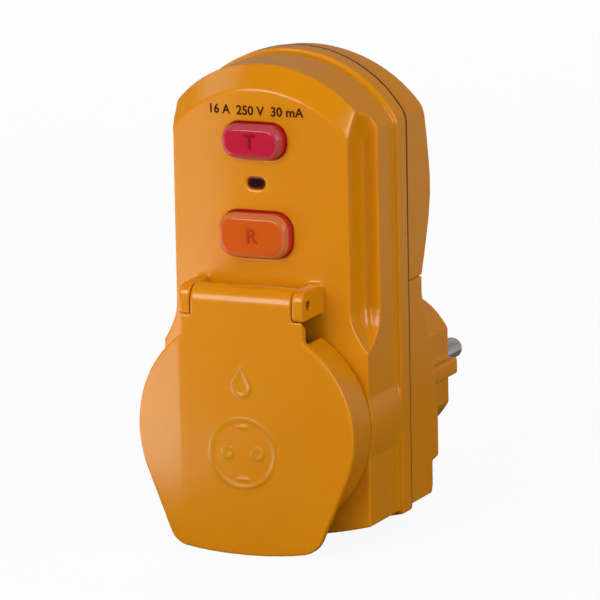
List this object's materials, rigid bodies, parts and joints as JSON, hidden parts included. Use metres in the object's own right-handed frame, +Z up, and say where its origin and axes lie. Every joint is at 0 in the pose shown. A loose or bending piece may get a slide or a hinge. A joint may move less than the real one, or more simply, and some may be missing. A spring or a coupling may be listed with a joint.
{
  "type": "residual current adapter plug",
  "caption": "Plug-in residual-current safety adapter: arched moulded housing with test and reset keys, indicator window, sprung lid over an earthed socket, and an earthed round plug behind.",
  "frame": {"origin": "centre of the plug's end face, midway between the two pins", "axes": "+Z up towards the arched top, +Y along the pins into the wall socket, so -Y is the front with the keys and the lid"},
  "size_m": [0.0526, 0.1003, 0.1104],
  "materials": {
    "shell_orange": "satin moulded",
    "seal_black": "matt",
    "screw_steel": "zinc plated",
    "insert_grey": "moulded",
    "contact_brass": "bright",
    "pin_nickel": "bright nickel",
    "strip_steel": "nickel plated",
    "spring_steel": "drawn wire",
    "test_red": "glossy",
    "reset_orange": "glossy",
    "cap_clear": "clear moulded",
    "window_smoke": "smoked clear",
    "flag_dark": "moulded",
    "flag_red": "moulded",
    "board_green": "solder mask",
    "component_black": "moulded",
    "resistor_tan": "lacquered",
    "core_grey": "coated",
    "copper": "enamelled",
    "yoke_iron": "zinc plated",
    "inner_white": "moulded",
    "wire_brown": "insulated",
    "wire_blue": "insulated",
    "varistor_blue": "lacquered"
  },
  "bodies": {
    "housing": {"front_shell": "shell_orange", "rear_base": "shell_orange", "rear_cover": "shell_orange", "shell_gasket": "seal_black", "housing_screws": "screw_steel", "socket_insert": "insert_grey", "contact_holder": "insert_grey", "contact_line": "contact_brass", "contact_neutral": "contact_brass", "earth_bracket": "contact_brass", "plug_pin_line": "pin_nickel", "plug_pin_neutral": "pin_nickel", "plug_earth_strip": "strip_steel", "earth_link": "contact_brass", "hinge_pin": "screw_steel", "lid_spring": "spring_steel", "test_spring": "spring_steel", "reset_spring": "spring_steel", "indicator_window": "window_smoke", "flag_axle": "spring_steel", "circuit_board": "board_green", "board_screws": "screw_steel", "test_switch": "component_black", "test_resistor": "resistor_tan", "sensor_core": "core_grey", "sensor_winding": "copper", "trip_yoke": "yoke_iron", "trip_bobbin": "inner_white", "trip_winding": "copper", "plunger_spring": "spring_steel", "carriage_guides": "spring_steel", "carriage_springs": "spring_steel", "fixed_in_line": "contact_brass", "fixed_in_neutral": "contact_brass", "fixed_out_line": "contact_brass", "fixed_out_neutral": "contact_brass", "feed_wire_line": "wire_brown", "feed_wire_neutral": "wire_blue", "varistor": "varistor_blue", "capacitor": "component_black", "thyristor": "component_black"},
    "lid": {"socket_lid": "shell_orange", "lid_gasket": "seal_black"},
    "test_button": {"test_key": "test_red", "test_cap": "cap_clear"},
    "reset_button": {"reset_key": "reset_orange", "reset_cap": "cap_clear"},
    "flag": {"indicator_flag": "flag_dark", "flag_red": "flag_red"},
    "carriage": {"contact_carriage": "inner_white", "bridge_line": "contact_brass", "bridge_neutral": "contact_brass"},
    "plunger": {"trip_plunger": "yoke_iron"}
  },
  "joints": [
    {"name": "lid_hinge", "type": "hinge", "parent": "housing", "child": "lid", "pos_m": [0, -0.0773, 0.0294], "axis": [-1, 0, 0], "range_deg": [0, 105], "stiffness_Nm_per_rad": 0.008, "springref_deg": -34.38, "deforming": ["lid_spring"]},
    {"name": "test_press", "type": "slide", "parent": "housing", "child": "test_button", "axis": [0, 1, 0], "range_m": [0, 0.0012], "stiffness_N_per_m": 900, "springref_m": -0.0015, "deforming": ["test_spring"]},
    {"name": "reset_press", "type": "slide", "parent": "housing", "child": "reset_button", "axis": [0, 1, 0], "range_m": [0, 0.002], "stiffness_N_per_m": 900, "springref_m": -0.002, "deforming": ["reset_spring"]},
    {"name": "carriage_slide", "type": "slide", "parent": "housing", "child": "carriage", "axis": [0, 1, 0], "range_m": [0, 0.002], "stiffness_N_per_m": 400, "springref_m": -0.001, "deforming": ["carriage_springs"]},
    {"name": "flag_turn", "type": "hinge", "parent": "housing", "child": "flag", "pos_m": [0, -0.0596, 0.0551], "axis": [1, 0, 0], "range_deg": [0, 20.1]},
    {"name": "plunger_slide", "type": "slide", "parent": "housing", "child": "plunger", "axis": [0, 0, 1], "range_m": [0, 0.0015], "stiffness_N_per_m": 200, "springref_m": -0.002, "deforming": ["plunger_spring"]}
  ],
  "couplings": [
    {"joint": "carriage_slide", "follows": "reset_press", "ratio": 1},
    {"joint": "flag_turn", "follows": "reset_press", "rad_per_m": 174.53}
  ]
}
